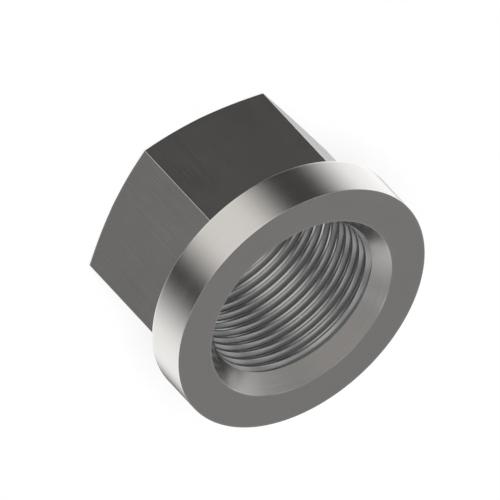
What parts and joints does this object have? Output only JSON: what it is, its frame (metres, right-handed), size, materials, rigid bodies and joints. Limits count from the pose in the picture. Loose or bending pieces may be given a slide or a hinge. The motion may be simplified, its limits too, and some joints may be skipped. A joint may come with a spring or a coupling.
{
  "type": "hex flange nut",
  "caption": "Hexagonal nut with a thick round flange, a turned chamfer on the free end of the hexagon and a countersunk bore for a fine metric thread.",
  "frame": {"origin": "centre of the hexagon's end face, on the bore's axis, where the nut stands on a surface", "axes": "+Z along the bore from the hex end to the flange's bearing face, +X through a corner of the hexagon"},
  "size_m": [0.036, 0.036, 0.022],
  "materials": {
    "steel": "bare machined steel, satin, with a smooth turned flange"
  },
  "bodies": {
    "root": {"hex_flange_nut": "steel"}
  },
  "joints": []
}
